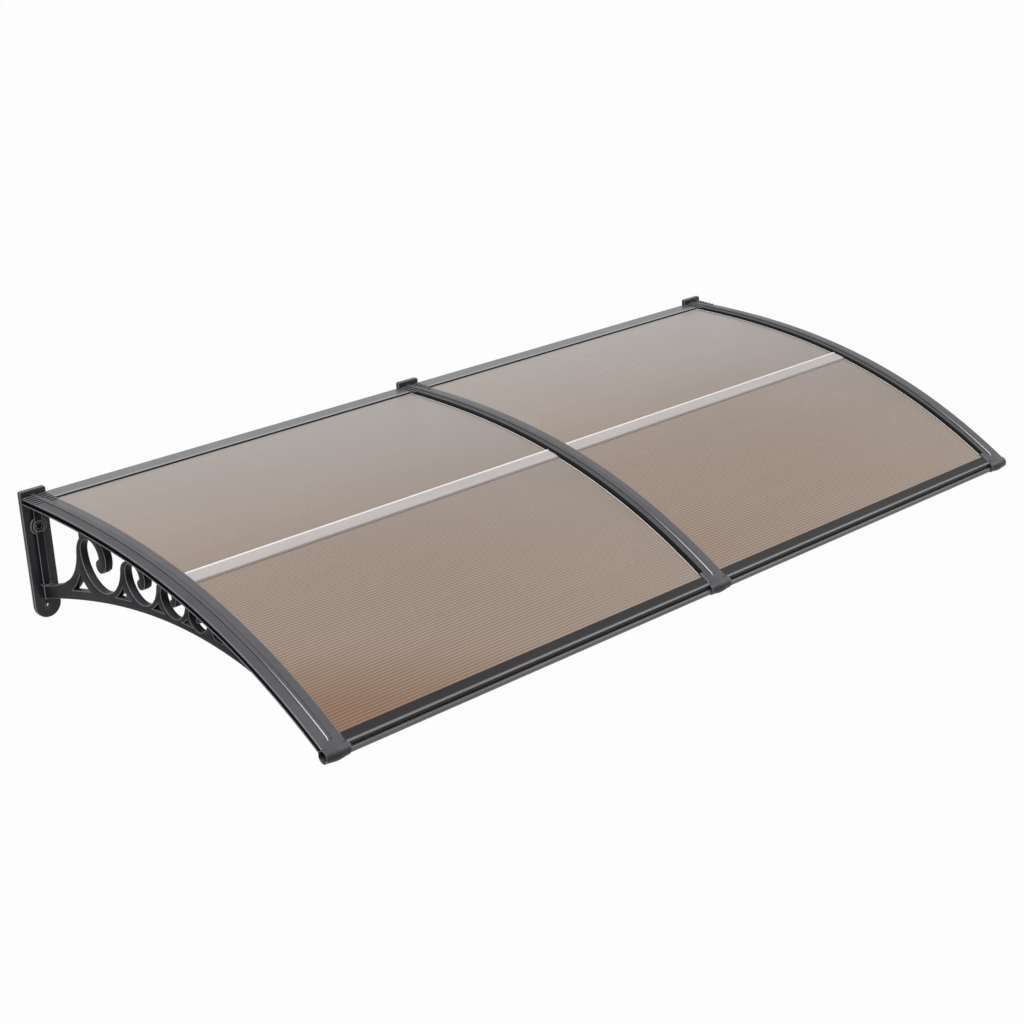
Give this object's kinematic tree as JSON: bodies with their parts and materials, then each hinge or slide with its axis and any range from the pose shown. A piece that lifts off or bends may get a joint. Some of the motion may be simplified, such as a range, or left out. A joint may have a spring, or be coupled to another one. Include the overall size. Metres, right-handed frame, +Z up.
{
  "type": "door canopy",
  "caption": "Two-bay curved door canopy: moulded wall brackets with running scrolls carry bronze twin-wall sheets between a rear bar and a front bar.",
  "frame": {"origin": "centre of the middle bracket's wall face, on its back rib between the two bolt holes", "axes": "+X along the wall, +Y into the wall, +Z up; the canopy stands out towards -Y"},
  "size_m": [2, 0.9668, 0.2752],
  "materials": {
    "charcoal_plastic": "satin charcoal with a fine moulded grain",
    "bronze_sheet": "translucent bronze twin-wall sheet with fine flutes along the canopy",
    "frosted_joiner": "pale frosted extruded strip",
    "grey_aluminium": "satin grey extrusion",
    "dark_aluminium": "satin dark anodised extrusion",
    "black_rubber": "matt black strip",
    "zinc_screw": "zinc plated"
  },
  "bodies": {
    "root": {"bracket_left": "charcoal_plastic", "bracket_middle": "charcoal_plastic", "bracket_right": "charcoal_plastic", "knuckle_left": "charcoal_plastic", "knuckle_middle": "charcoal_plastic", "knuckle_right": "charcoal_plastic", "sheet_rear_left": "bronze_sheet", "sheet_rear_right": "bronze_sheet", "sheet_front_left": "bronze_sheet", "sheet_front_right": "bronze_sheet", "joiner_left": "frosted_joiner", "joiner_right": "frosted_joiner", "rear_bar_left": "grey_aluminium", "rear_bar_right": "grey_aluminium", "front_bar_left": "dark_aluminium", "front_bar_right": "dark_aluminium", "wall_seal_left": "black_rubber", "wall_seal_right": "black_rubber", "bar_screw_1": "zinc_screw", "bar_screw_2": "zinc_screw", "bar_screw_3": "zinc_screw", "bar_screw_4": "zinc_screw"}
  },
  "joints": []
}
